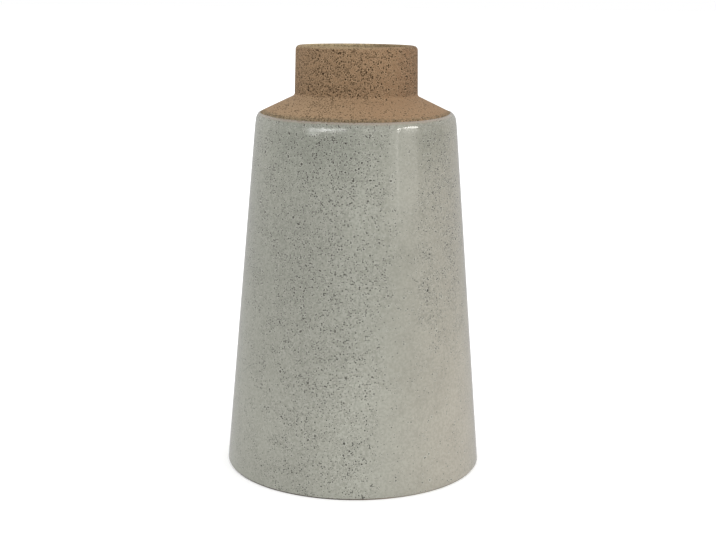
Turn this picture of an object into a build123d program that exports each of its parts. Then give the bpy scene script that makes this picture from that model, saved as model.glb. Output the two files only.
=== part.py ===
"""A cone-bodied stoneware bottle vase: four clay sections luted together, glazed outside and lined inside.

Every piece is turned about the Z axis. The table is at Z = 0 and the lip is at the top.
Sizes are in millimetres and angles in degrees.
"""

import os
from math import atan, cos, degrees, radians, tan

from build123d import *

# Outside shape: the cone over its glaze, then the shoulder and the neck in bare clay
foot_diameter = 184.2
shoulder_diameter = 140.8
lip_diameter = 85.2
neck_flare = 0.65
body_height = 252.3
shoulder_rise = 13.0
neck_length = 34.7

# Clay thickness, square to each surface
floor_thickness = 8.0
wall_thickness = 6.5
shoulder_thickness = 6.5
neck_thickness = 5.0

# Rounded edges of the clay, and the largest share of a wall that one of them may take
shoulder_round = 7.0
neck_root_round = 2.5
lip_outer_round = 3.1
lip_inner_round = 1.4
foot_round = 0.5
largest_share = 0.45

# Turned underside: a shallow recess leaves a ring to stand on
foot_recess = 2.0
foot_ring_width = 12.0

# Joints: how deep the clay sections are let into each other, and where
register_depth = 2.0
shoulder_joint_drop = 8.0
neck_flange_width = 4.0

# Outer glaze: bare clay left above the rounded foot, and bare end of the turn over the shoulder
outer_glaze_thickness = 0.8
outer_glaze_edge_round = 0.35
outer_glaze_foot_gap = 0.2
outer_glaze_bare_turn = 24.0

# Lining glaze: it pools in the corners and stops short of the rounded lip
lining_thickness = 0.6
lining_pool_round = 5.0
lining_lip_gap = 2.6

# Radii that follow
foot_radius = foot_diameter / 2
shoulder_radius = shoulder_diameter / 2
lip_radius = lip_diameter / 2
neck_root_radius = lip_radius + neck_flare
flange_radius = neck_root_radius + neck_flange_width
bore_radius = lip_radius - neck_thickness

# Heights that follow
floor_top = foot_recess + floor_thickness
wall_seat = floor_top - register_depth
neck_root_height = body_height + shoulder_rise
overall_height = neck_root_height + neck_length

# Roundings that their walls leave room for
foot_edge_round = min(foot_round, foot_recess * largest_share)
lip_room = 2 * neck_thickness * largest_share
lip_fit = min(1, lip_room / (lip_outer_round + lip_inner_round))
lip_outer_edge = lip_outer_round * lip_fit
lip_inner_edge = lip_inner_round * lip_fit
glaze_edge_round = min(outer_glaze_edge_round, outer_glaze_thickness * largest_share)

# The wall leans in from upright, and the shoulder rises from level
wall_lean = atan((foot_radius - shoulder_radius) / body_height)
shoulder_pitch = atan(shoulder_rise / (shoulder_radius - neck_root_radius))
shoulder_turn = 90 - degrees(wall_lean + shoulder_pitch)

# Depths under the glazed outside at which the clay wall starts, is halved and ends
wall_front = outer_glaze_thickness
wall_middle = outer_glaze_thickness + wall_thickness / 2
wall_back = outer_glaze_thickness + wall_thickness


def wall_point(height, depth):
    """A point at this height on the cone that lies this deep under the glazed outside of the body."""
    radius = foot_radius - height * tan(wall_lean) - depth / cos(wall_lean)
    return (radius, height)


def slope_point(radius, depth=0.0):
    """A point at this radius on the cone that lies this deep under the top of the shoulder."""
    height = body_height + (shoulder_radius - radius) * tan(shoulder_pitch) - depth / cos(shoulder_pitch)
    return (radius, height)


def corner_point(wall_depth, slope_depth):
    """Where the wall's cone at one depth meets the shoulder's cone at another."""
    level_radius = wall_point(0, wall_depth)[0]
    level_height = slope_point(level_radius, slope_depth)[1]
    height = level_height / (1 - tan(wall_lean) * tan(shoulder_pitch))
    return wall_point(height, wall_depth)


def cavity_outline(inset):
    """Half outline of the hollow in the clay up to the lining's top edge, drawn in from the clay by the inset."""
    inner_radius = bore_radius - inset
    top = overall_height - lip_inner_edge - lining_lip_gap
    return [
        (0, floor_top + inset),
        wall_point(floor_top + inset, wall_back + inset),
        corner_point(wall_back + inset, shoulder_thickness + inset),
        slope_point(inner_radius, shoulder_thickness + inset),
        (inner_radius, top),
        (0, top),
    ]


def corners(profile, *points):
    """The corners of a profile at these points."""
    return [profile.vertices().sort_by_distance(Vector(point))[0] for point in points]


os.makedirs("parts", exist_ok=True)

# Base slab: closes the bottom, stands on a turned ring, and its raised middle fits inside the wall
foot_edge = wall_point(0, wall_front)
ring_edge = (foot_edge[0] - foot_ring_width, 0)
with BuildPart() as base_slab:
    with BuildSketch(Plane.XZ) as slab_profile:
        with BuildLine():
            Polyline(
                (0, foot_recess),
                (ring_edge[0], foot_recess),
                ring_edge,
                foot_edge,
                wall_point(wall_seat, wall_front),
                wall_point(wall_seat, wall_back),
                wall_point(floor_top, wall_back),
                (0, floor_top),
                close=True,
            )
        make_face()
        fillet(corners(slab_profile, foot_edge, ring_edge), foot_edge_round)
    revolve(axis=Axis.Z)
base_slab.part.label = "base_slab"
export_step(base_slab.part, "parts/base_slab.step")

# Body wall: the tall cone, seated round the slab's middle, its top edge rebated on the inside
clay_corner = corner_point(wall_front, 0)
inside_corner = corner_point(wall_back, shoulder_thickness)
wall_top = inside_corner[1] - shoulder_joint_drop
rebate_floor = wall_top - register_depth
with BuildPart() as body_wall:
    with BuildSketch(Plane.XZ):
        with BuildLine():
            Polyline(
                wall_point(wall_seat, wall_back),
                wall_point(wall_seat, wall_front),
                wall_point(wall_top, wall_front),
                wall_point(wall_top, wall_middle),
                wall_point(rebate_floor, wall_middle),
                wall_point(rebate_floor, wall_back),
                close=True,
            )
        make_face()
    revolve(axis=Axis.Z)
body_wall.part.label = "body_wall"
export_step(body_wall.part, "parts/body_wall.step")

# Shoulder ring: a shallow cone, with a tongue down into the wall's rebate and a sunk seat for the neck
with BuildPart() as shoulder_ring:
    with BuildSketch(Plane.XZ) as shoulder_profile:
        with BuildLine():
            Polyline(
                wall_point(rebate_floor, wall_back),
                wall_point(rebate_floor, wall_middle),
                wall_point(wall_top, wall_middle),
                wall_point(wall_top, wall_front),
                clay_corner,
                slope_point(flange_radius),
                slope_point(flange_radius, register_depth),
                slope_point(bore_radius, register_depth),
                slope_point(bore_radius, shoulder_thickness),
                inside_corner,
                close=True,
            )
        make_face()
        fillet(corners(shoulder_profile, clay_corner), shoulder_round)
    revolve(axis=Axis.Z)
shoulder_ring.part.label = "shoulder_ring"
export_step(shoulder_ring.part, "parts/shoulder_ring.step")

# Neck collar: a short tube with a rounded lip, its flange bedded flush in the shoulder's seat
neck_root = (neck_root_radius, neck_root_height)
lip_outside = (lip_radius, overall_height)
lip_inside = (bore_radius, overall_height)
with BuildPart() as neck_collar:
    with BuildSketch(Plane.XZ) as neck_profile:
        with BuildLine():
            Polyline(
                slope_point(bore_radius, register_depth),
                slope_point(flange_radius, register_depth),
                slope_point(flange_radius),
                neck_root,
                lip_outside,
                lip_inside,
                close=True,
            )
        make_face()
        fillet(corners(neck_profile, neck_root), neck_root_round)
        fillet(corners(neck_profile, lip_outside), lip_outer_edge)
        fillet(corners(neck_profile, lip_inside), lip_inner_edge)
    revolve(axis=Axis.Z)
neck_collar.part.label = "neck_collar"
export_step(neck_collar.part, "parts/neck_collar.step")

# Outer glaze: an even coat up the wall and over most of the shoulder's rounded corner
glaze_foot = wall_point(foot_edge_round + outer_glaze_foot_gap, wall_front)
corner_tangent = shoulder_round * tan(radians(shoulder_turn / 2))
flank_top = wall_point(clay_corner[1] - corner_tangent * cos(wall_lean), wall_front)
with BuildPart() as outer_glaze:
    with BuildSketch(Plane.XZ) as glaze_profile:
        with BuildLine():
            flank = Line(glaze_foot, flank_top)
            turn = JernArc(flank @ 1, flank % 1, shoulder_round, shoulder_turn - outer_glaze_bare_turn)
            offset(amount=outer_glaze_thickness, side=Side.RIGHT)
        make_face()
        lower_edge = flank @ 0 + (flank % 0).rotate(Axis.Z, -90) * outer_glaze_thickness
        upper_edge = turn @ 1 + (turn % 1).rotate(Axis.Z, -90) * outer_glaze_thickness
        fillet(corners(glaze_profile, lower_edge, upper_edge), glaze_edge_round)
    revolve(axis=Axis.Z)
outer_glaze.part.label = "outer_glaze"
export_step(outer_glaze.part, "parts/outer_glaze.step")

# Inner glaze: a thin watertight lining over the floor, the wall, the shoulder and the bore
with BuildPart() as inner_glaze:
    with BuildSketch(Plane.XZ) as lining_profile:
        with BuildLine():
            Polyline(*cavity_outline(0), close=True)
        make_face()
        with BuildLine():
            Polyline(*cavity_outline(lining_thickness), close=True)
        make_face(mode=Mode.SUBTRACT)
        floor_corner, ceiling_corner = cavity_outline(lining_thickness)[1:3]
        fillet(corners(lining_profile, floor_corner, ceiling_corner), lining_pool_round)
    revolve(axis=Axis.Z)
inner_glaze.part.label = "inner_glaze"
export_step(inner_glaze.part, "parts/inner_glaze.step")

for piece in (base_slab, body_wall, shoulder_ring, neck_collar, outer_glaze, inner_glaze):
    print(f"{piece.part.label}: {piece.part.volume / 1000:.1f} cm3")
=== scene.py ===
# %% [markdown]
# # A speckled stoneware bottle vase
#
# The vase is a tall cone with a sloping shoulder and a short, wide neck. Up to the shoulder it wears a
# glossy grey-green glaze, full of iron specks; above that the sandy clay is bare. Its six solids, four
# clay sections and two coats of glaze, come packed as a fixed frame, in metres, with the axis on Z and
# the table at zero. This lesson turns a finer mesh for each piece that shows, on the same axis, and gives
# it its fired finish.

# %% Load the frame
import math

import bpy
from mathutils import Matrix, Quaternion, Vector
from mathutils.bvhtree import BVHTree


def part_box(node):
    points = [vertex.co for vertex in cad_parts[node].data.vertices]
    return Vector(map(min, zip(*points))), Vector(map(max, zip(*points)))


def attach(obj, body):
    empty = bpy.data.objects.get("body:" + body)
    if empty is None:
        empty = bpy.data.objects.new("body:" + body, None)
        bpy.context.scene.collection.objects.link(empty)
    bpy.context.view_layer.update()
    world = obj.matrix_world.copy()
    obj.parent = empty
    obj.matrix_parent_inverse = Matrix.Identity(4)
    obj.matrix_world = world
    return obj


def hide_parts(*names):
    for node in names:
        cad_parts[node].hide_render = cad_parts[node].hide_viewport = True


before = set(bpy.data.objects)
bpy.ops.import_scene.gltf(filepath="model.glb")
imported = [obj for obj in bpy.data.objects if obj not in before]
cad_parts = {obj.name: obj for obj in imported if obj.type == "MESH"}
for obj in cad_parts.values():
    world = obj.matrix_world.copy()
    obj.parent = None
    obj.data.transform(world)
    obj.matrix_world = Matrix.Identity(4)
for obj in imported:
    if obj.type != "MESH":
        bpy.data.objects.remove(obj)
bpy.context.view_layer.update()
print("nodes in the frame:", sorted(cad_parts))

# %% [markdown]
# ## The camera
#
# A product picture like this is taken from a little above, with a long lens, so that the cone hardly
# flares. The place and the lens could be found by eye, but a pinhole camera was fitted to the outline
# instead. The focal length came out in pixels of a picture 716 wide, and a sensor's width turns that into
# a lens.

# %% Stand the camera up
picture_width = 716
focal_pixels = 1293.9
camera_back = 0.9152
camera_height = 0.3299
look_down = math.radians(11.726)
look_aside = math.radians(-0.152)
camera_roll = math.radians(0.573)

photo_camera = bpy.data.objects.new("photo_camera", bpy.data.cameras.new("photo_camera"))
photo_camera.data.lens = photo_camera.data.sensor_width * focal_pixels / picture_width
photo_camera.matrix_world = (
    Matrix.Translation((0, -camera_back, camera_height))
    @ Matrix.Rotation(look_aside, 4, "Z")
    @ Matrix.Rotation(math.pi / 2 - look_down, 4, "X")
    @ Matrix.Rotation(camera_roll, 4, "Z")
)
bpy.context.scene.collection.objects.link(photo_camera)
bpy.context.scene.camera = photo_camera
print(f"lens {photo_camera.data.lens:.1f} mm, {camera_back:.3f} m in front of the axis")

# %% [markdown]
# ## The studio light
#
# The glaze shows what the light was: a bright patch on the turn of the shoulder to the right, with a
# faint strip and a thin line below it, a long thin streak to the left, brightest in its middle, and soft,
# even light from everywhere else. Panels with soft edges, some of them tilted, make the patch, the strip
# and the streak. A panel is placed by the angles that it covers as seen from the shoulder, because a
# mirror shows angles, not metres. The Standard view keeps colours as they are, so that white paper comes
# out white.

# %% Helpers for nodes
def put(tree, kind, inputs=None, **properties):
    """Add a shader node, set its properties, and set or link its inputs, each by name or number."""
    node = tree.nodes.new("ShaderNode" + kind)
    for name, value in properties.items():
        setattr(node, name, value)
    for socket, value in (inputs or {}).items():
        if isinstance(value, bpy.types.NodeSocket):
            tree.links.new(value, node.inputs[socket])
        else:
            node.inputs[socket].default_value = value
    return node


def calculate(tree, operation, first, *others):
    """Arithmetic with two or more values, one step after another."""
    for other in others:
        inputs = {0: first, 1: other}
        first = put(tree, "Math", inputs, operation=operation).outputs["Value"]
    return first


def product(tree, *shares):
    """Several shares multiplied with each other."""
    return calculate(tree, "MULTIPLY", *shares)


def ramp(tree, value, start, end, low=0.0, high=1.0):
    """A smooth climb from low to high while a value goes from start to end."""
    inputs = {"Value": value, "From Min": start, "From Max": end, "To Min": low, "To Max": high}
    return put(tree, "MapRange", inputs, interpolation_type="SMOOTHSTEP").outputs["Result"]


# %% One softbox
shoulder_aim = Vector((0, 0, 0.25))
panel_distance = 1.5


def fade(tree, share, width):
    """Light at this share of the way across a panel: it fades out over this width at either edge."""
    to_lower = ramp(tree, share, 0, width)
    to_upper = ramp(tree, share, 1 - width, 1, 1, 0)
    return product(tree, to_lower, to_upper)


def softbox(name, sideways, upward, radiance, colour=(1, 1, 1), tilt=0, soft=(0.5, 0.5)):
    """An area lamp that covers these angles, in degrees, to the right of the camera's side and up."""
    left, right = (math.radians(angle) for angle in sideways)
    bottom, top = (math.radians(angle) for angle in upward)
    aside = (left + right) / 2
    rise = (bottom + top) / 2
    lamp = bpy.data.lights.new(name, "AREA")
    lamp.shape = "RECTANGLE"
    lamp.size = 2 * panel_distance * math.tan((right - left) / 2)
    lamp.size_y = 2 * panel_distance * math.tan((top - bottom) / 2)
    lamp.energy = radiance * math.pi * lamp.size * lamp.size_y
    lamp.color = colour
    lamp.use_nodes = True
    glow = lamp.node_tree
    glow.nodes.clear()
    spot = put(glow, "NewGeometry").outputs["Parametric"]
    along_panel, up_panel, _ = put(glow, "SeparateXYZ", {"Vector": spot}).outputs
    cloth = product(glow, fade(glow, along_panel, soft[0]), fade(glow, up_panel, soft[1]))
    emission = put(glow, "Emission", {"Strength": cloth}).outputs["Emission"]
    put(glow, "OutputLight", {"Surface": emission})
    way = Vector((math.sin(aside) * math.cos(rise), -math.cos(aside) * math.cos(rise), math.sin(rise)))
    panel = bpy.data.objects.new(name, lamp)
    panel.location = shoulder_aim + way * panel_distance
    facing = way.to_track_quat("Z", "Y") @ Quaternion((0, 0, 1), math.radians(tilt))
    panel.rotation_euler = facing.to_euler()
    bpy.context.scene.collection.objects.link(panel)
    print(f"{name}: {lamp.size:.2f} x {lamp.size_y:.2f} m, {lamp.energy:.1f} W")


# %% Hang the softboxes
warm_white = (1, 0.97, 0.93)
crisp = (0.06, 0.06)

softbox("right_softbox", (58, 72.5), (6.4, 12.5), radiance=15, colour=warm_white, tilt=-4, soft=crisp)
softbox("right_taper", (52, 60.5), (7.1, 9.6), radiance=20, colour=warm_white, soft=(0.4, 0.2))
softbox("right_slit", (45.2, 51), (7.48, 7.88), radiance=42, colour=warm_white, soft=(0.2, 0.2))
softbox("right_strip", (34.5, 71), (-5.5, 13), radiance=0.8, colour=warm_white, soft=(0.06, 0.22))
softbox("right_line", (42.8, 47.3), (-4.5, 8), radiance=1.8, colour=warm_white)
softbox("left_softbox", (-46, -19), (7.78, 8.24), radiance=38, tilt=1.8)
softbox("left_wing", (-60, -34), (6.75, 8.05), radiance=7, tilt=3.5)
softbox("left_tail", (-30, -5), (8.2, 9.1), radiance=13, tilt=2)
softbox("left_glow", (-58, -36), (3.4, 8), radiance=4)

# %% The soft light all round
horizon_light = 0.55
zenith_light = 1.25
full_rise = 0.6

world = bpy.data.worlds.new("light_tent")
bpy.context.scene.world = world
world.use_nodes = True
sky = world.node_tree
sky.nodes.clear()

direction = put(sky, "TexCoord").outputs["Generated"]
rise = put(sky, "SeparateXYZ", {"Vector": direction}).outputs["Z"]
strength = ramp(sky, rise, 0, full_rise, horizon_light, zenith_light)
looked_at = put(sky, "LightPath").outputs["Is Camera Ray"]
white_behind = put(sky, "Mix", {0: looked_at, 2: strength, 3: 1}).outputs[0]
tent = put(sky, "Background", {"Color": (1, 1, 1, 1), "Strength": white_behind})
put(sky, "OutputWorld", {"Surface": tent.outputs["Background"]})
bpy.context.scene.view_settings.view_transform = "Standard"
print(f"light all round: {horizon_light} at the horizon to {zenith_light} overhead")

# %% [markdown]
# ## Measuring the solids
#
# Every piece is round about the Z axis, so its whole shape is one outline of radius against height. A ray
# sent at a solid finds one point of that outline. Two points fix a straight stretch, and two stretches
# meet in a corner. The sizes could be typed in, but measured ones stay right when the solids change.

# %% Rays at the solids
far_out = 1.0
beside_seam = 0.00002
depsgraph = bpy.context.evaluated_depsgraph_get()
solids = {name: BVHTree.FromObject(node, depsgraph) for name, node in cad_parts.items()}


def touch(name, radius, height, outward, upward):
    """Radius and height where a ray from this radius and height first meets a solid."""
    start = Vector((radius, beside_seam, height))
    point = solids[name].ray_cast(start, Vector((outward, 0, upward)))[0]
    return Vector((math.hypot(point.x, point.y), point.z))


def outside(name, height):
    """Where a level ray from far out meets a solid."""
    return touch(name, far_out, height, -1, 0)


def inside(name, height):
    """Where a level ray from the axis meets a solid."""
    return touch(name, 0, height, 1, 0)


def meet(first, second):
    """Where two straight lines meet; a line is a pair of its points."""
    along = first[1] - first[0]
    across = second[1] - second[0]
    share = (second[0] - first[0]).cross(across) / along.cross(across)
    return first[0] + along * share


def level(height):
    """A level line at this height."""
    return Vector((0, height)), Vector((1, height))


def upright(radius):
    """An upright line at this radius."""
    return Vector((radius, 0)), Vector((radius, 1))


# %% The straight stretches of the outline
low_look, high_look = 0.06, 0.2
near_look, far_look = 0.05, 0.058
neck_low, neck_high = 0.275, 0.29
middle_height = 0.15

wall = outside("body_wall", low_look), outside("body_wall", high_look)
wall_back = inside("body_wall", low_look), inside("body_wall", high_look)
lined_wall = inside("inner_glaze", low_look), inside("inner_glaze", high_look)
slope = touch("shoulder_ring", far_look, far_out, 0, -1), touch("shoulder_ring", near_look, far_out, 0, -1)
ceiling = touch("shoulder_ring", far_look, 0, 0, 1), touch("shoulder_ring", near_look, 0, 0, 1)
lined_ceiling = [touch("inner_glaze", radius, middle_height, 0, 1) for radius in (far_look, near_look)]
neck_side = outside("neck_collar", neck_low), outside("neck_collar", neck_high)
clay_bore = inside("neck_collar", neck_high).x
lined_bore = inside("inner_glaze", neck_high).x
glaze_thickness = (outside("outer_glaze", low_look) - wall[0]).x
lip_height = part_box("neck_collar")[1].z
flange_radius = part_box("neck_collar")[1].x
lining_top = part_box("inner_glaze")[1].z
print(f"wall {wall[0].x * 1000:.2f} to {wall[1].x * 1000:.2f} mm, glaze {glaze_thickness * 1000:.2f} mm")
print(f"bore {clay_bore * 1000:.2f} mm, lined {lined_bore * 1000:.2f} mm")
print(f"lip {lip_height * 1000:.0f} mm above the table")

# %% [markdown]
# ## Rounding and turning
#
# A potter turns a pot on a wheel, and the mesh is made the same way. An outline with rounded corners is
# set out in radius and height, and swung round the axis in narrow steps. Blender's Screw modifier could
# do it, but mesh code keeps hold of every ring, so one ring can waver a little, as a dipped glaze does.
# Each piece also gets a tidy texture layout: a rectangle for the face that shows, and a narrow strip for
# what is hidden.

# %% Outlines with rounded corners
arc_step = math.radians(6)
run_step = 0.004
fewest_steps = 3


def rounded(corners):
    """Points round a corner list of (point, rounding), with arcs at the corners that have a rounding."""
    path = []
    for index, (corner, rounding) in enumerate(corners):
        if rounding == 0:
            path.append(corner)
            continue
        back = (corners[index - 1][0] - corner).normalized()
        onward = (corners[(index + 1) % len(corners)][0] - corner).normalized()
        turn = math.pi - back.angle(onward)
        if back.cross(onward) > 0:
            turn = -turn
        start = corner + back * rounding * math.tan(abs(turn) / 2)
        centre = corner + (back + onward).normalized() * rounding / math.cos(turn / 2)
        steps = max(fewest_steps, math.ceil(abs(turn) / arc_step))
        for step in range(steps + 1):
            path.append(centre + Matrix.Rotation(turn * step / steps, 2) @ (start - centre))
    return path


def divided(path):
    """The same path with points added along its long straight runs."""
    fine = []
    for start, end in zip(path, path[1:]):
        pieces = max(1, math.ceil((end - start).length / run_step))
        fine.extend(start.lerp(end, piece / pieces) for piece in range(pieces))
    return fine + path[-1:]


def row_at(path, point):
    """Number of the row that lies nearest to a point."""
    return min(range(len(path)), key=lambda row: (path[row] - point).length)


# %% Heights in the texture layout
shown_share = 0.86
strip_gap = 0.02


def map_heights(path, shown):
    """Lower and upper texture height of each strip of faces, with most of the map for the shown rows."""
    first, last = shown
    lengths = [0]
    for start, end in zip(path, path[1:]):
        lengths.append(lengths[-1] + (end - start).length)
    shown_length = lengths[last] - lengths[first]
    hidden_length = lengths[-1] - shown_length
    hidden_share = 1 - shown_share - strip_gap
    heights = []
    for row in range(len(path) - 1):
        ends = lengths[row], lengths[row + 1]
        if first <= row < last:
            heights.append([shown_share * (end - lengths[first]) / shown_length for end in ends])
            continue
        before = -lengths[last] if row >= last else lengths[-1] - lengths[last]
        heights.append([1 - hidden_share + hidden_share * (end + before) / hidden_length for end in ends])
    return heights


# %% Turning an outline into a mesh
columns = 288
edge_angle = math.radians(40)


def turned(name, outlines, shown):
    """A closed piece turned about Z, from an outline for each column; rows on the axis become points."""
    closed = outlines[0][0].x > beside_seam
    vertices = []
    rings = []
    for row, (radius, height) in enumerate(outlines[0]):
        if radius < beside_seam:
            rings.append([len(vertices)] * columns)
            vertices.append((0, 0, height))
            continue
        rings.append(range(len(vertices), len(vertices) + columns))
        for column in range(columns):
            radius, height = outlines[column][row]
            angle = 2 * math.pi * column / columns
            vertices.append((radius * math.cos(angle), radius * math.sin(angle), height))
    path = outlines[0] + outlines[0][:1] if closed else outlines[0]
    rings = rings + rings[:1] if closed else rings
    faces = []
    layout = []
    for row, (low, high) in enumerate(map_heights(path, shown)):
        for column in range(columns):
            beside = (column + 1) % columns
            left, right = column / columns, (column + 1) / columns
            corners = [(rings[row][column], left, low), (rings[row][beside], right, low)]
            corners += [(rings[row + 1][beside], right, high), (rings[row + 1][column], left, high)]
            if corners[0][0] == corners[1][0]:
                corners.pop(1)
            elif corners[2][0] == corners[3][0]:
                corners.pop(3)
            faces.append([vertex for vertex, across, up in corners])
            layout.extend((across, up) for vertex, across, up in corners)
    mesh = bpy.data.meshes.new(name)
    mesh.from_pydata(vertices, [], faces)
    flat_map = mesh.uv_layers.new(name="OFBake")
    flat_map.data.foreach_set("uv", [number for spot in layout for number in spot])
    mesh.shade_smooth()
    mesh.set_sharp_from_angle(angle=edge_angle)
    piece = bpy.data.objects.new(name, mesh)
    bpy.context.scene.collection.objects.link(piece)
    print(f"{name}: {len(outlines[0])} rows, {len(faces)} faces, sound: {not mesh.validate()}")
    return piece


def dress(piece, node):
    """Let a piece ride on the frame's one body and stand for its solid, which it hides."""
    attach(piece, "root")
    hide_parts(node)


# %% [markdown]
# ## The neck
#
# The neck is a short tube, a hair wider at its root, with a flange let flush into the shoulder. A wet
# sponge has rounded its lip, more on the outside than on the inside, and a fillet of slip fills the
# corner at the root. One closed outline has all of it: up the outside, over the lip, down the bore and
# back under the flange.

# %% Turn the neck
root_round = 0.0025
lip_round_outside = 0.0031
lip_round_inside = 0.0014

seat_looks = (clay_bore + root_round, flange_radius - root_round)
seat = [touch("neck_collar", radius, 0, 0, 1) for radius in seat_looks]
flange_edge = meet(slope, upright(flange_radius))
lip_outside = meet(neck_side, level(lip_height))
lip_inside = Vector((clay_bore, lip_height))
neck_corners = [
    (flange_edge, 0),
    (meet(slope, neck_side), root_round),
    (lip_outside, lip_round_outside),
    (lip_inside, lip_round_inside),
    (meet(seat, upright(clay_bore)), 0),
    (meet(seat, upright(flange_radius)), 0),
]
neck_path = divided(rounded(neck_corners))
bore_start = Vector((clay_bore, lining_top))
neck = turned("vase_neck", [neck_path] * columns, (0, row_at(neck_path, bore_start)))
dress(neck, "neck_collar")

# %% [markdown]
# ## The shoulder
#
# The shoulder is a shallow cone that turns down into the wall over a generous rounding. Its hidden side
# has the tongue that drops into the wall's rebate and the seat that the neck's flange lies in. They are
# kept, so that the mesh is a sound closed piece and not a bare skin.

# %% Turn the shoulder
shoulder_round = 0.007

tongue_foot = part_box("shoulder_ring")[0].z
wall_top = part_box("body_wall")[1].z
tongue_side = outside("shoulder_ring", tongue_foot + (wall_top - tongue_foot) / 2)
clay_corner = meet(wall, slope)
shoulder_corners = [
    (meet(wall, level(wall_top)), 0),
    (clay_corner, shoulder_round),
    (flange_edge, 0),
    (meet(seat, upright(flange_radius)), 0),
    (meet(seat, upright(clay_bore)), 0),
    (meet(ceiling, upright(clay_bore)), 0),
    (meet(ceiling, wall_back), 0),
    (meet(wall_back, level(tongue_foot)), 0),
    (Vector((tongue_side.x, tongue_foot)), 0),
    (Vector((tongue_side.x, wall_top)), 0),
]
shoulder_path = divided(rounded(shoulder_corners))
shoulder = turned("vase_shoulder", [shoulder_path] * columns, (0, row_at(shoulder_path, flange_edge)))
dress(shoulder, "shoulder_ring")

# %% [markdown]
# ## The foot
#
# Nobody sees the underside until the vase is lifted, but it is where a turned pot shows its making: a
# ring to stand on, and inside it a shallow recess with the faint spiral marks of the turning tool. The
# marks are plain rings here, a tenth of a millimetre deep, which is all that can be felt.

# %% Turn the foot
foot_round = 0.0005
tool_pitch = 0.008
tool_depth = 0.00012

recess_height = touch("base_slab", 0, -far_out, 0, 1).y
floor_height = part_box("base_slab")[1].z
wall_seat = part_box("body_wall")[0].z
ring_inside = inside("base_slab", recess_height / 2).x
foot_corners = [
    (Vector((0, recess_height)), 0),
    (Vector((ring_inside, recess_height)), 0),
    (Vector((ring_inside, 0)), foot_round),
    (meet(wall, level(0)), foot_round),
    (meet(wall, level(wall_seat)), 0),
    (meet(wall_back, level(wall_seat)), 0),
    (meet(wall_back, level(floor_height)), 0),
    (Vector((0, floor_height)), 0),
]
foot_path = divided(rounded(foot_corners))
recess_rows = row_at(foot_path, Vector((ring_inside, recess_height)))
for point in foot_path[1:recess_rows]:
    point.y += tool_depth * (1 - math.cos(2 * math.pi * point.x / tool_pitch)) / 2
foot_shown = row_at(foot_path, meet(wall, level(wall_seat)))
foot = turned("vase_foot", [foot_path] * columns, (0, foot_shown))
dress(foot, "base_slab")

# %% [markdown]
# ## The lining
#
# Sandy clay lets water through, so the inside is glazed as well: poured in, swilled round and poured out.
# It pools a little in the corners and stops just under the lip. From above, this thin coat is what is
# seen.

# %% Turn the lining
pool_round = 0.005
lining_edge_round = 0.0004

lined_floor = touch("inner_glaze", near_look, middle_height, 0, -1).y
lining_corners = [
    (Vector((0, floor_height)), 0),
    (meet(wall_back, level(floor_height)), 0),
    (meet(ceiling, wall_back), 0),
    (meet(ceiling, upright(clay_bore)), 0),
    (Vector((clay_bore, lining_top)), 0),
    (Vector((lined_bore, lining_top)), lining_edge_round),
    (meet(lined_ceiling, upright(lined_bore)), 0),
    (meet(lined_ceiling, lined_wall), pool_round),
    (meet(lined_wall, level(lined_floor)), pool_round),
    (Vector((0, lined_floor)), 0),
]
lining_path = divided(rounded(lining_corners))
lining_shown = row_at(lining_path, Vector((clay_bore, lining_top)))
lining = turned("vase_lining", [lining_path] * columns, (lining_shown, len(lining_path) - 1))
dress(lining, "inner_glaze")

# %% [markdown]
# ## The glaze coat
#
# The body was dipped upside down by hand, so the glaze ends just over the turn of the shoulder in a line
# that climbs a little to both sides. It was wiped back from the foot so that the vase wouldn't stick to
# the kiln shelf. The coat is under a millimetre thick, thinner over the turn, where the glaze ran down
# from it, and it rolls over at both edges. A thin offset shell would end in square edges, so the
# thickness is worked out along the clay instead, with a quarter of an ellipse at each edge. It ripples a
# little, always inwards. Each point of the coat remembers how far it lies below the line, and each point
# of the shoulder how near it is to the line, for the colours there.

# %% The clay's path under the coat
bare_turn = math.radians(24)

glaze_foot = meet(wall, level(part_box("outer_glaze")[0].z))
up_wall = (wall[1] - wall[0]).normalized()
up_slope = (slope[1] - slope[0]).normalized()
off_wall = Vector((up_wall.y, -up_wall.x))
shoulder_turn = up_wall.angle(up_slope)
flank_top = clay_corner - up_wall * shoulder_round * math.tan(shoulder_turn / 2)
turn_centre = flank_top - off_wall * shoulder_round
flank_length = (flank_top - glaze_foot).length
coat_length = flank_length + shoulder_round * (shoulder_turn - bare_turn)
coat_depth = glaze_thickness * off_wall.x
print(f"coat {coat_length * 1000:.1f} mm long and {coat_depth * 1000:.2f} mm deep")


def clay_under_coat(distance):
    """Point on the clay at this distance up from the coat's foot, and the way straight out from it."""
    if distance <= flank_length:
        return glaze_foot + up_wall * distance, off_wall
    out = Matrix.Rotation((distance - flank_length) / shoulder_round, 2) @ off_wall
    return turn_centre + out * shoulder_round, out


# %% The coat's outline at each angle
foot_roll = 0.0006
foot_waver = 0.0001
upper_roll = 0.0013
line_waver = 0.00022
front_drop = 0.0004
side_climb = 0.0022
right_climb = 0.3
climb_power = 4
waves = ((0.5, 3, 0.7), (0.3, 7, 2.1), (0.2, 16, 0))
foot_shift = 1.3
coat_ripple = 0.05
ripple_length = 0.055
thin_reach = 0.007
thin_share = 0.4
roll_rows, flank_rows, thin_rows, turn_rows = 7, 82, 8, 10
thin_start = flank_length - thin_reach


def waver(angle):
    """A slow wave round the vase, between -1 and 1, from waves of a height, a count and a start."""
    return sum(height * math.sin(count * angle + start) for height, count, start in waves)


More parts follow.
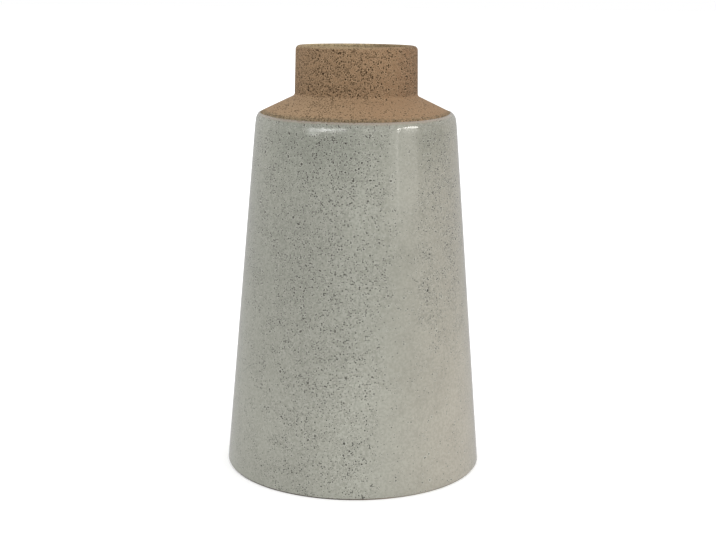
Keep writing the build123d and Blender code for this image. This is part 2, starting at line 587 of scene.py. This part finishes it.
def coat_rows(angle):
    """Rows of (distance up the clay, depth of glaze), up the outside of the coat and back down the clay."""
    climb = side_climb * (1 + right_climb * math.cos(angle)) * math.cos(angle) ** climb_power
    end = coat_length - front_drop + climb + line_waver * waver(angle)
    start = foot_waver * (1 + waver(angle + foot_shift))
    quarter = [math.pi / 2 * step / roll_rows for step in range(roll_rows + 1)]
    rows = [(start + foot_roll * (1 - math.cos(roll)), math.sin(roll)) for roll in quarter]
    lower, upper = start + foot_roll, end - upper_roll
    stops = (lower, thin_start, flank_length, upper)
    for low, high, steps in zip(stops, stops[1:], (flank_rows, thin_rows, turn_rows)):
        rows += [(low + (high - low) * step / steps, 1) for step in range(1, steps + 1)]
    rows += [(upper + upper_roll * math.sin(roll), math.cos(roll)) for roll in quarter[1:]]
    rows += [(end + (flank_length - end) * step / turn_rows, 0) for step in range(1, turn_rows + 1)]
    rows += [(flank_length + (start - flank_length) * step / roll_rows, 0) for step in range(1, roll_rows)]
    return rows


def coat_point(distance, fullness, angle):
    """Radius and height of one point of the coat."""
    clay, out = clay_under_coat(distance)
    up_ripple = distance / ripple_length
    ripple = coat_ripple * (1 + waver(angle + up_ripple) * math.sin(up_ripple)) / 2
    thinned = min(1, max(0, (distance - thin_start) / (coat_length - thin_start)))
    thinning = thin_share * thinned ** 2 * (3 - 2 * thinned)
    return clay + out * coat_depth * fullness * (1 - ripple) * (1 - thinning)


# %% Turn the coat
angles = [2 * math.pi * column / columns for column in range(columns)]
coat_columns = [coat_rows(angle) for angle in angles]
coat_outlines = [
    [coat_point(distance, fullness, angle) for distance, fullness in rows]
    for rows, angle in zip(coat_columns, angles)
]
coat_shown = 2 * roll_rows + flank_rows + thin_rows + turn_rows
coat = turned("vase_glaze_coat", coat_outlines, (0, coat_shown))
dress(coat, "outer_glaze")

# %% How far every point is from the glaze line
# How far above the glaze line the clay is darker.
line_dark_reach = 0.0055

line_at = [max(distance for distance, fullness in rows) for rows in coat_columns]
rows_across = zip(*coat_columns)
below_line = [line - row[0] for across in rows_across for line, row in zip(line_at, across)]
up_clay = [(shoulder_path[0] - glaze_foot).length]
for start, end in zip(shoulder_path, shoulder_path[1:]):
    up_clay.append(up_clay[-1] + (end - start).length)
near_line = [line + line_dark_reach - distance for distance in up_clay for line in line_at]
for piece, name, values in ((coat, "below_line", below_line), (shoulder, "near_line", near_line)):
    piece.data.attributes.new(name, "FLOAT", "POINT").data.foreach_set("value", values)
print(f"the glaze line climbs by {(max(line_at) - min(line_at)) * 1000:.2f} mm to the sides")

# %% [markdown]
# ## Effects that the finishes share
#
# Four things that happen in the kiln show on more than one finish. Iron in the clay melts into dark
# specks, each with a faint pale halo. Flame and the thickness of the coat make soft clouds of colour.
# Sand makes a fine grain. Melted glaze stiffens with an uneven skin, like an orange peel. Each is a node
# group, so that every finish can use it at its own scale. A speck is a small ball round the middle of a
# cell of a 3-D Voronoi pattern, so it has a true size and never stretches round the cone; its halo shows
# only where the surface really cuts the ball.

# %% Helpers for node groups
def new_group(name, inputs, outputs):
    """A shader node group with named sockets; gives its tree, what comes in and where it goes out."""
    tree = bpy.data.node_groups.new(name, "ShaderNodeTree")
    for label, kind in inputs.items():
        tree.interface.new_socket(label, in_out="INPUT", socket_type=kind)
    for label, kind in outputs.items():
        tree.interface.new_socket(label, in_out="OUTPUT", socket_type=kind)
    given = tree.nodes.new("NodeGroupInput").outputs
    wanted = tree.nodes.new("NodeGroupOutput").inputs
    print(f"group {name} gives {', '.join(outputs)}")
    return tree, given, wanted


def use(tree, group, **inputs):
    """Place a group in a tree with these inputs; gives its outputs."""
    return put(tree, "Group", inputs, node_tree=group).outputs


def along(tree, operation, inputs, result="Vector"):
    """One step of arithmetic with vectors."""
    return put(tree, "VectorMath", inputs, operation=operation).outputs[result]


def mixed(tree, share, first, second, kind="MIX"):
    """A colour between two others: the first where the share is 0, the second where it is 1."""
    inputs = {0: share, 6: first, 7: second}
    return put(tree, "Mix", inputs, data_type="RGBA", blend_type=kind).outputs[2]


def layered(tree, colour, *coats):
    """A colour with coats laid over it in turn, each of a share, a tint and maybe a kind of mix."""
    for share, *coat in coats:
        colour = mixed(tree, share, colour, *coat)
    return colour


VECTOR = "NodeSocketVector"
NUMBER = "NodeSocketFloat"

# %% Iron specks
smallest_speck = 0.45
speck_core, speck_rim, speck_halo = 0.7, 1.15, 1.8
palest_speck = 0.2
speck_raggedness = 0.25
rag_scale = 1100
noise_middle = (0.5, 0.5, 0.5)

iron_specks, given, wanted = new_group(
    "iron_specks",
    {"Vector": VECTOR, "Grain": NUMBER, "Radius": NUMBER, "Amount": NUMBER},
    {"Mask": NUMBER, "Halo": NUMBER},
)
rag = put(iron_specks, "TexNoise", {"Vector": given["Vector"], "Scale": rag_scale, "Detail": 1})
centred = along(iron_specks, "SUBTRACT", {0: rag.outputs["Color"], 1: noise_middle})
rag_size = product(iron_specks, given["Radius"], speck_raggedness)
shift = along(iron_specks, "SCALE", {0: centred, "Scale": rag_size})
ragged = along(iron_specks, "ADD", {0: given["Vector"], 1: shift})
cell_scale = calculate(iron_specks, "DIVIDE", 1.0, given["Grain"])
cells = put(iron_specks, "TexVoronoi", {"Vector": ragged, "Scale": cell_scale})
chance = put(iron_specks, "SeparateColor", {"Color": cells.outputs["Color"]}).outputs
reach = product(iron_specks, cells.outputs["Distance"], given["Grain"])
size = product(iron_specks, ramp(iron_specks, chance[0], 0, 1, smallest_speck, 1), given["Radius"])
core, rim, halo = (product(iron_specks, size, share) for share in (speck_core, speck_rim, speck_halo))
present = calculate(iron_specks, "LESS_THAN", chance[1], given["Amount"])
visible = product(iron_specks, present, ramp(iron_specks, chance[2], 0, 1, palest_speck, 1))
disc = ramp(iron_specks, reach, core, rim, 1, 0)
iron_specks.links.new(product(iron_specks, disc, visible), wanted["Mask"])
facing = put(iron_specks, "NewGeometry").outputs["True Normal"]
offset = along(iron_specks, "SUBTRACT", {0: ragged, 1: cells.outputs["Position"]})
off_surface = along(iron_specks, "DOT_PRODUCT", {0: offset, 1: facing}, "Value")
depth = calculate(iron_specks, "ABSOLUTE", off_surface, 0)
ring = ramp(iron_specks, reach, rim, halo, 1, 0)
cut = ramp(iron_specks, depth, core, rim, 1, 0)
iron_specks.links.new(product(iron_specks, ring, cut, visible), wanted["Halo"])


def specked(tree, place, layers, amounts):
    """Specks and their pale halos from several layers, each of a grain and a radius, in these amounts."""
    found = [
        use(tree, iron_specks, Vector=place, Grain=grain, Radius=radius, Amount=amount)
        for (grain, radius), amount in zip(layers, amounts)
    ]
    specks = calculate(tree, "MAXIMUM", *(layer["Mask"] for layer in found))
    halos = calculate(tree, "MAXIMUM", *(layer["Halo"] for layer in found))
    return specks, halos


# %% Kiln clouds
cloud_low, cloud_high = 0.2, 0.8

kiln_cloud, given, wanted = new_group("kiln_cloud", {"Vector": VECTOR, "Size": NUMBER}, {"Cloud": NUMBER})
cloud_scale = calculate(kiln_cloud, "DIVIDE", 1.0, given["Size"])
inputs = {"Vector": given["Vector"], "Scale": cloud_scale, "Detail": 2}
drift = put(kiln_cloud, "TexNoise", inputs).outputs["Fac"]
kiln_cloud.links.new(ramp(kiln_cloud, drift, cloud_low, cloud_high), wanted["Cloud"])

# %% Sand in the body
sand_low, sand_high = 0.3, 0.7
coarse_step = 3.0

sand_outputs = {"Height": NUMBER, "Tint": NUMBER}
fired_sand, given, wanted = new_group("fired_sand", {"Vector": VECTOR, "Grain": NUMBER}, sand_outputs)
sand_scale = calculate(fired_sand, "DIVIDE", 1.0, given["Grain"])
coarse_scale = calculate(fired_sand, "DIVIDE", sand_scale, coarse_step)
for scale, detail, output in ((sand_scale, 3, "Height"), (coarse_scale, 2, "Tint")):
    inputs = {"Vector": given["Vector"], "Scale": scale, "Detail": detail}
    grit = put(fired_sand, "TexNoise", inputs).outputs["Fac"]
    fired_sand.links.new(ramp(fired_sand, grit, sand_low, sand_high), wanted[output])

# %% Orange peel
peel_inputs = {"Vector": VECTOR, "Scale": NUMBER}
orange_peel, given, wanted = new_group("orange_peel", peel_inputs, {"Height": NUMBER})
inputs = {"Vector": given["Vector"], "Scale": given["Scale"], "Detail": 1}
skin = put(orange_peel, "TexNoise", inputs).outputs["Fac"]
orange_peel.links.new(skin, wanted["Height"])

# %% [markdown]
# ## The bare clay
#
# Fired without glaze, the clay is a warm matte tan, with sand that can be felt. Brown iron specks crowd
# on the neck, most left of its middle, and thin out on the shoulder, which is paler, most to the left. The
# flame has flashed the neck's right side red-brown. On the lip lies a thin wash of glaze, with painted
# light on its top, and painted light brightens the shaded bore, most to the left. The clay is darker and
# greyer beside the glaze line. Painted shadow darkens the edge of the foot, most to the left, and to the
# right the foot keeps a film of wiped glaze.
#
# One material does all the bare clay, so that the pieces match where they meet. Masks could be painted by
# hand, but zones are easier to change. A zone says where something starts and ends to change, most often
# in metres, and its shares there.

# %% Helpers for materials
bump_depth = 0.0002


def new_material(name, inputs):
    """A material with one glossy or matte surface; gives it, its tree and its surface."""
    material = bpy.data.materials.new(name)
    material.use_nodes = True
    tree = material.node_tree
    tree.nodes.clear()
    surface = put(tree, "BsdfPrincipled", inputs)
    put(tree, "OutputMaterial", {"Surface": surface.outputs["BSDF"]})
    return material, tree, surface


def where(tree):
    """A point's place on the vase, and how far it lies to the right of the axis and up from the table."""
    place = put(tree, "TexCoord").outputs["Object"]
    across, _, height = put(tree, "SeparateXYZ", {"Vector": place}).outputs
    return place, across, height


def patch(tree, across, height, rise, *sides):
    """A patch with soft edges: one zone up the vase times other zones from side to side."""
    return product(tree, ramp(tree, height, *rise), *(ramp(tree, across, *side) for side in sides))


def bumped(tree, height, strength):
    """A normal that follows a height map."""
    inputs = {"Height": height, "Strength": strength, "Distance": bump_depth}
    return put(tree, "Bump", inputs).outputs["Normal"]


def feed(tree, surface, colour, roughness, normal):
    """Link a colour, a roughness and a normal to the surface."""
    for name, output in (("Base Color", colour), ("Roughness", roughness), ("Normal", normal)):
        tree.links.new(output, surface.inputs[name])


# %% Specks in the clay
clay_layers = ((0.00096, 0.00065), (0.00121, 0.0007), (0.0017, 0.00086))
few_large = 0.8
left_crowd = (-0.002, 0.015, 1.5, 0.75)
left_edge_crowd = (-0.041, -0.03, 0.6, 1)
flash_crowd = 0.8
shoulder_crowd = (0, 1, 0.36, 1)
line_crowd = (0, 1, 1, 2.2)
cloud_crowd = (0.2, 0.8, 0.7, 1.3)


def clay_specks(tree, place, across, cloud, on_neck, flash, line_darkening):
    """Specks of three sizes and their halos: most on the neck, in its flash and along the glaze line."""
    to_left = product(tree, ramp(tree, across, *left_crowd), ramp(tree, across, *left_edge_crowd))
    neck_crowd = calculate(tree, "ADD", to_left, product(tree, flash, flash_crowd))
    on_shoulder = ramp(tree, on_neck, *shoulder_crowd)
    at_line = ramp(tree, line_darkening, *line_crowd)
    in_clouds = ramp(tree, cloud, *cloud_crowd)
    crowd = product(tree, neck_crowd, on_shoulder, at_line, in_clouds)
    few = product(tree, crowd, few_large)
    return specked(tree, place, clay_layers, (crowd, crowd, few))


# %% The clay's own colours
clay_tan = (0.234, 0.142, 0.075, 1)
clay_brown = (0.192, 0.114, 0.06, 1)
clay_pale = (0.318, 0.201, 0.111, 1)
clay_olive = (1.05, 1.09, 1.08, 1)
# A paler, greener tint for the shoulder, strongest to the left.
clay_shoulder_paling = (1.19, 1.27, 1.37, 1)
clay_sand = (0.44, 0.3, 0.18, 1)
clay_flash = (0.145, 0.068, 0.031, 1)
pale_off_neck = (0, 1, 0.7, 0)
olive_zone = (-0.04, 0.02, 1, 0)
shoulder_paling_zone = (-0.045, 0.03, 0.8, 0.15)
lump_share = (0, 1, 0.25, 0)
flash_share = 0.95
grit_share = (0, 1, 0, 0.2)


def clay_ground(tree, across, cloud, sand, on_neck, flash):
    """Tan on the neck and paler on the shoulder, most to the left, with sand in it and the flame's flash.
    """
    paling_share = product(tree, ramp(tree, on_neck, 0, 1, 1, 0), ramp(tree, across, *shoulder_paling_zone))
    return layered(
        tree,
        clay_brown,
        (cloud, clay_tan),
        (ramp(tree, on_neck, *pale_off_neck), clay_pale),
        (ramp(tree, across, *olive_zone), clay_olive, "MULTIPLY"),
        (paling_share, clay_shoulder_paling, "MULTIPLY"),
        (ramp(tree, sand["Tint"], *lump_share), clay_brown),
        (product(tree, flash, flash_share), clay_flash),
        (ramp(tree, sand["Height"], *grit_share), clay_sand),
    )


# %% The wash and the painted light on the lip and in the bore
lip_zone = (lip_height - 0.002, lip_height - 0.0009, 0, 0.65)
lip_thinning = (0.003, 0.02, 1, 0.3)
# Painted light: the bore's shaded wall gets the lip's colour, and a paler one to the left.
bore_zone = (clay_bore, clay_bore + 0.002, 0.85, 0)
bore_light_zone = (0.005, 0.02, 1, 0)


def lip_and_bore_shares(tree, across, height, radius):
    """Shares of wash and painted light on and in the lip, and of paler painted light at the bore's left."""
    on_lip = product(tree, ramp(tree, height, *lip_zone), ramp(tree, across, *lip_thinning))
    in_bore = ramp(tree, radius, *bore_zone)
    lit_bore_share = product(tree, in_bore, ramp(tree, across, *bore_light_zone))
    return calculate(tree, "MAXIMUM", on_lip, in_bore), lit_bore_share


# %% The bare clay
clay_speck = (0.034, 0.016, 0.003, 1)
# Painted shadow: a dark colour for the contact shadow along the foot's lower edge.
foot_painted_shadow = (0.05, 0.043, 0.035, 1)
# A greyer tint that darkens the clay beside the glaze line.
line_dark_tint = (0.6, 0.68, 0.7, 1)
glaze_film = (0.28, 0.27, 0.23, 1)
# The lip's colour: a thin wash of glaze, made paler as painted light where the lip's top catches the light.
lip_wash_and_light = (0.39, 0.3, 0.175, 1)
# Painted light: a pale colour that brightens the shaded wall of the bore at its left.
bore_painted_light = (0.57, 0.45, 0.27, 1)
clay_shine = 0.25
clay_relief = 0.5
clay_roughness = (0, 1, 0.95, 0.8)
clay_cloud_size = 0.02
sand_grain = 0.0006
clay_halo = 0.8
root_height = meet(slope, neck_side).y
neck_zone = (root_height - 0.001, root_height + 0.004)
flash_zone = (0.026, 0.035)
line_dark_thinning = (0.01, 0.03, 1, 0.75)
line_dark_raggedness = (0, 1, 1.5, 0.4)
specks_in_wash = (0, 1, 1, 0.6)
specks_off_neck = (0, 1, 0.92, 1)
foot_radius = meet(wall, level(0)).x
foot_edge = (foot_radius - 0.002, foot_radius - 0.0008)
foot_rise = (0.001, 0.003, 0.9, 0)
film_zone = (-0.01, 0.04)
# The painted shadow at the foot is strongest to the left and fades towards the right.
foot_shadow_zone = (-0.01, 0.04, 1, 0.1)


def bare_clay():
    """Specked sandy clay: a lip wash with painted light, darker by the glaze line, painted shadow at the
    foot.
    """
    material, tree, surface = new_material("bare_clay", {"Specular IOR Level": clay_shine})
    place, across, height = where(tree)
    radius = along(tree, "LENGTH", {0: along(tree, "MULTIPLY", {0: place, 1: (1, 1, 0)})}, "Value")
    cloud = use(tree, kiln_cloud, Vector=place, Size=clay_cloud_size)["Cloud"]
    sand = use(tree, fired_sand, Vector=place, Grain=sand_grain)
    on_neck = ramp(tree, height, *neck_zone)
    flash = product(tree, on_neck, ramp(tree, across, *flash_zone))
    near_line = put(tree, "Attribute", attribute_name="near_line").outputs["Fac"]
    at_line = ramp(tree, near_line, 0, line_dark_reach)
    in_lumps = ramp(tree, sand["Tint"], *line_dark_raggedness)
    line_darkening = product(tree, at_line, ramp(tree, across, *line_dark_thinning), in_lumps)
    specks, halos = clay_specks(tree, place, across, cloud, on_neck, flash, line_darkening)
    wash_and_light_share, bore_light_share = lip_and_bore_shares(tree, across, height, radius)
    faint = product(tree, ramp(tree, wash_and_light_share, *specks_in_wash), ramp(tree, on_neck, *specks_off_neck))
    specks = product(tree, specks, faint)
    at_foot = product(tree, ramp(tree, radius, *foot_edge), ramp(tree, height, *foot_rise))
    colour = layered(
        tree,
        clay_ground(tree, across, cloud, sand, on_neck, flash),
        (product(tree, halos, clay_halo), clay_sand),
        (line_darkening, line_dark_tint, "MULTIPLY"),
        # the lip's wash with painted light, and painted light in the bore
        (wash_and_light_share, lip_wash_and_light),
        (bore_light_share, bore_painted_light),
        (specks, clay_speck),
        (product(tree, at_foot, ramp(tree, across, *film_zone)), glaze_film),
        # painted contact shadow along the foot's edge
        (product(tree, at_foot, ramp(tree, across, *foot_shadow_zone)), foot_painted_shadow),
    )
    relief = calculate(tree, "SUBTRACT", sand["Height"], specks)
    roughness = ramp(tree, sand["Height"], *clay_roughness)
    feed(tree, surface, colour, roughness, bumped(tree, relief, clay_relief))
    return material


clay = bare_clay()
for piece in (neck, shoulder, foot):
    piece.data.materials.append(clay)
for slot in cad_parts["body_wall"].material_slots:
    slot.material = clay
print("bare clay on the neck, the shoulder, the foot and the wall under the glaze")

# %% [markdown]
# ## The speckled glaze
#
# The glaze is a pale grey-green glass, thick enough to hide the clay, and it is paler towards the bottom.
# It is darker in two caps under the shoulder and mottled where specks crowd, and painted shade darkens it
# down the left side, left of the middle and along the right edge. Iron from the clay comes up through it as
# specks of three sizes, densest left of the middle just below the shoulder, and fainter on the calm right
# side and where the turn catches the light. At its upper line the coat thins out: a fine brown edge, then a
# warm band where the clay shows through. The gloss is the shader's own; clouds change its roughness a
# little, and a faint orange peel bends it.

# %% Specks in the glaze
glaze_layers = ((0.00112, 0.00062), (0.0021, 0.00078), (0.005, 0.0011))
middling_share, rare_share = 0.75, 0.5
left_specks = (-0.09, -0.02, 0.4, 1)
right_specks = (0.003, 0.034, 1, 0.15)
right_lean = (0.02, 0.15, 0.01, 0)
right_edge_specks = ((0.06, 0.16), (0.038, 0.05, 0, 0.45))
upper_specks = (0, 0.25, 0.6, 1)
clustered_specks = (0.2, 0.8, 0.5, 1.4)
dense_patch = ((0.18, 0.21), (-0.035, -0.024), (-0.008, 0.006, 1, 0))
dense_gain = (0, 1, 1.4, 1.8)
upper_large_specks = (0.02, 0.2, 0.6, 1)
dense_strength = (0, 1, 0.92, 1)
calm_strength = (0.1, 0.8, 0.76, 1)
above_streak = (0.0025, 0.005, 1, 0.6)
below_streak = (0.0075, 0.0095, 0.6, 1)


def glaze_crowd(tree, across, height, cluster):
    """How many specks there are, and the patch where they are densest."""
    leaning = calculate(tree, "ADD", across, ramp(tree, height, *right_lean))
    at_edge = patch(tree, across, height, *right_edge_specks)
    to_right = calculate(tree, "ADD", ramp(tree, leaning, *right_specks), at_edge)
    to_left = ramp(tree, across, *left_specks)
    upper = ramp(tree, height, *upper_specks)
    clustered = ramp(tree, cluster, *clustered_specks)
    dense = patch(tree, across, height, *dense_patch)
    return product(tree, to_left, to_right, upper, clustered, ramp(tree, dense, *dense_gain)), dense


def glaze_specks(tree, place, height, below_line, crowd, dense):
    """Specks of three sizes, fainter on the calm side and under the streak of light, and their halos."""
    coarse = product(tree, crowd, ramp(tree, height, *upper_large_specks))
    amounts = (crowd, product(tree, coarse, middling_share), product(tree, coarse, rare_share))
    specks, halos = specked(tree, place, glaze_layers, amounts)
    beside_streak = (ramp(tree, below_line, *zone) for zone in (above_streak, below_streak))
    off_streak = calculate(tree, "MAXIMUM", *beside_streak)
    strength = product(tree, ramp(tree, dense, *dense_strength), ramp(tree, crowd, *calm_strength))
    return product(tree, specks, strength, off_streak), halos


# %% The glaze's colours and its painted shade
glaze_upper = (0.256, 0.265, 0.224, 1)
glaze_body = (0.328, 0.332, 0.286, 1)
glaze_lower = (0.378, 0.379, 0.328, 1)
# A grey for painted shade, also used for the mottling where specks cluster.
shade_and_mottle_grey = (0.9, 0.9, 0.9, 1)
warm_tint = (1.06, 0.99, 0.97, 1)
paler_low_zone = (0.03, 0.17, 1, 0)
warm_zone = (0, 0.08)
left_cap = ((0.195, 0.24), (-0.066, -0.044), (-0.008, 0.008, 1, 0.4))
right_cap = ((0.215, 0.24), (0.036, 0.048, 0, 0.6), (0.055, 0.068, 1, 0))
# Painted shade: these zones darken the glaze down the left side, left of the middle, on the upper right and
# along the right edge.
below_cap = (0.18, 0.22, 1, 0)
left_shade = (below_cap, (-0.045, -0.01, 1, 0), (-0.08, -0.062, 0.7, 1))
middle_shade = (below_cap, (-0.05, -0.03), (-0.012, 0.004, 0.45, 0))
middle_shade_foot = (0.05, 0.08)
right_shade = ((0.11, 0.17, 0, 0.5), (0.035, 0.055))
edge_shade = (0.082, 0.091, 0, 0.6)
wall_lean = (wall[0].x - wall[1].x) / (wall[1].y - wall[0].y)


def glaze_ground(tree, across, height):
    """Paler towards the bottom, darker in two caps under the shoulder, with painted shade to both sides."""
    all_zones = (left_cap, right_cap, left_shade, middle_shade, right_shade)
    patches = [patch(tree, across, height, *zones) for zones in all_zones]
    cap_at_left, cap_at_right, left, middle, right = patches
    middle = product(tree, middle, ramp(tree, height, *middle_shade_foot))
    to_edge = calculate(tree, "ADD", across, product(tree, height, wall_lean))
    right = calculate(tree, "MAXIMUM", right, ramp(tree, to_edge, *edge_shade))
    return layered(
        tree,
        glaze_body,
        (ramp(tree, height, *paler_low_zone), glaze_lower),
        (calculate(tree, "ADD", cap_at_left, cap_at_right), glaze_upper),
        # painted shade down the left, left of the middle and at the right
        (calculate(tree, "ADD", left, middle, right), shade_and_mottle_grey, "MULTIPLY"),
        (ramp(tree, across, *warm_zone), warm_tint, "MULTIPLY"),
    )


# %% The glaze at its line
line_warm = (0.86, 0.84, 0.77, 1)
line_pink = (0.3, 0.245, 0.2, 1)
line_brown = (0.16, 0.125, 0.08, 1)
line_raggedness = (0, 1, -0.0003, 0.0003)
warm_band = (0.001, 0.0038, 1, 0)
pink_band = (0.0008, 0.0026, 0.8, 0)
brown_band = (0.0005, 0.0012, 1, 0)
brown_to_middle = (-0.004, 0.008, 1, 0.3)
brown_at_right = (0.05, 0.058, 0.3, 1)


def line_colours(tree, colour, across, below_line, mottle):
    """A colour with the warm band and the brown edge of the glaze line laid over it."""
    below = calculate(tree, "ADD", below_line, ramp(tree, mottle, *line_raggedness))
    brown_zones = (ramp(tree, across, *zone) for zone in (brown_to_middle, brown_at_right))
    brown = calculate(tree, "MAXIMUM", *brown_zones)
    return layered(
        tree,
        colour,
        (ramp(tree, below, *warm_band), line_warm, "MULTIPLY"),
        (ramp(tree, below, *pink_band), line_pink),
        (product(tree, ramp(tree, below, *brown_band), brown), line_brown),
    )


# %% The speckled glaze
glaze_speck = (0.022, 0.019, 0.014, 1)
glaze_pale = (0.5, 0.5, 0.44, 1)
glaze_index = 1.5
glaze_roughness = (0, 1, 0.045, 0.08)
glaze_peel_scale, glaze_peel_strength = 260, 0.03
glaze_cloud_size, cluster_size = 0.045, 0.012
mottle_grain = 0.0017
mottle_swing = (0, 1, 0.5, -0.5)
mottle_strength = (0.1, 0.8, 0.15, 0.33)
mottle_middle = 0.14
cloud_share = (0, 1, 0.1, 0)
cluster_share = (0.3, 0.75, -0.25, 0.45)
glaze_halo = 0.5


def speckled_glaze():
    """Glossy grey-green glaze with iron specks of three sizes."""
    material, tree, surface = new_material("speckled_glaze", {"IOR": glaze_index})
    place, across, height = where(tree)
    below_line = put(tree, "Attribute", attribute_name="below_line").outputs["Fac"]
    cloud = use(tree, kiln_cloud, Vector=place, Size=glaze_cloud_size)["Cloud"]
    cluster = use(tree, kiln_cloud, Vector=place, Size=cluster_size)["Cloud"]
    mottle = use(tree, fired_sand, Vector=place, Grain=mottle_grain)["Height"]
    crowd, dense = glaze_crowd(tree, across, height, cluster)
    specks, halos = glaze_specks(tree, place, height, below_line, crowd, dense)
    swing = product(tree, ramp(tree, mottle, *mottle_swing), ramp(tree, crowd, *mottle_strength))
    colour = layered(
        tree,
        glaze_ground(tree, across, height),
        (ramp(tree, cloud, *cloud_share), glaze_upper, "MULTIPLY"),
        (calculate(tree, "ADD", swing, mottle_middle), glaze_upper, "MULTIPLY"),
        (ramp(tree, cluster, *cluster_share), shade_and_mottle_grey, "MULTIPLY"),
        (product(tree, halos, glaze_halo), glaze_pale),
        (specks, glaze_speck),
    )
    peel = use(tree, orange_peel, Vector=place, Scale=glaze_peel_scale)["Height"]
    colour = line_colours(tree, colour, across, below_line, mottle)
    roughness = ramp(tree, cloud, *glaze_roughness)
    feed(tree, surface, colour, roughness, bumped(tree, peel, glaze_peel_strength))
    return material


coat.data.materials.append(speckled_glaze())
print("speckled glaze on the coat")

# %% [markdown]
# ## The lining glaze
#
# Inside, the same glaze was used thinner. It is satin, not glossy, with few specks, and it is a little
# darker where it pools in the corner of the floor.

# %% The lining glaze
lining_pale = (0.27, 0.265, 0.22, 1)
lining_dark = (0.2, 0.19, 0.15, 1)
lining_cloud_size = 0.03
lining_cloud_share = (0, 1, 0.35, 0)
lining_layers = ((0.003, 0.0005),)
lining_amount = 0.35
lining_pool = (lined_floor, lined_floor + pool_round, 0.6, 0)
lining_roughness = (0, 1, 0.3, 0.4)
lining_peel_scale, lining_peel_strength = 200, 0.2


def lining_glaze():
    """Satin lining with soft clouds and a few specks."""
    material, tree, surface = new_material("lining_glaze", {"IOR": glaze_index})
    place, _, height = where(tree)
    cloud = use(tree, kiln_cloud, Vector=place, Size=lining_cloud_size)["Cloud"]
    specks, _ = specked(tree, place, lining_layers, (lining_amount,))
    peel = use(tree, orange_peel, Vector=place, Scale=lining_peel_scale)["Height"]
    clouded = ramp(tree, cloud, *lining_cloud_share)
    pooled = ramp(tree, height, *lining_pool)
    colour = layered(
        tree, lining_pale, (clouded, lining_dark), (pooled, lining_dark), (specks, glaze_speck)
    )
    roughness = ramp(tree, cloud, *lining_roughness)
    feed(tree, surface, colour, roughness, bumped(tree, peel, lining_peel_strength))
    return material


lining.data.materials.append(lining_glaze())
print("lining glaze on the lining")

# %% [markdown]
# ## The floor
#
# The vase stands on a plain white sheet, so wide that its far edge is lost in the light. A little light
# comes up through it, as on a light table, which keeps the shadow faint. It is kept out of mirror
# reflections, because the real surroundings were a shade greyer than the white that the picture shows.

# %% Lay the floor
floor_reach = 60.0
floor_sides = 64
fibre_scale = 900
paper_grey, paper_white = (0.9, 0.9, 0.9, 1), (0.94, 0.94, 0.94, 1)
paper_look = {
    "Roughness": 0.9,
    "Specular IOR Level": 0.1,
    "Emission Color": (1, 1, 1, 1),
    "Emission Strength": 0.2,
}

paper, paper_tree, paper_surface = new_material("white_paper", paper_look)
fibre = put(paper_tree, "TexNoise", {"Scale": fibre_scale, "Detail": 2}).outputs["Fac"]
paper_tree.links.new(mixed(paper_tree, fibre, paper_grey, paper_white), paper_surface.inputs["Base Color"])
turns = [2 * math.pi * side / floor_sides for side in range(floor_sides)]
sheet_points = [(floor_reach * math.cos(turn), floor_reach * math.sin(turn), 0) for turn in turns]
floor_mesh = bpy.data.meshes.new("paper_floor")
floor_mesh.from_pydata(sheet_points, [], [list(range(floor_sides))])
floor_mesh.materials.append(paper)
floor = bpy.data.objects.new("paper_floor", floor_mesh)
floor.visible_glossy = False
bpy.context.scene.collection.objects.link(floor)
print(f"floor {2 * floor_reach:.0f} m across")
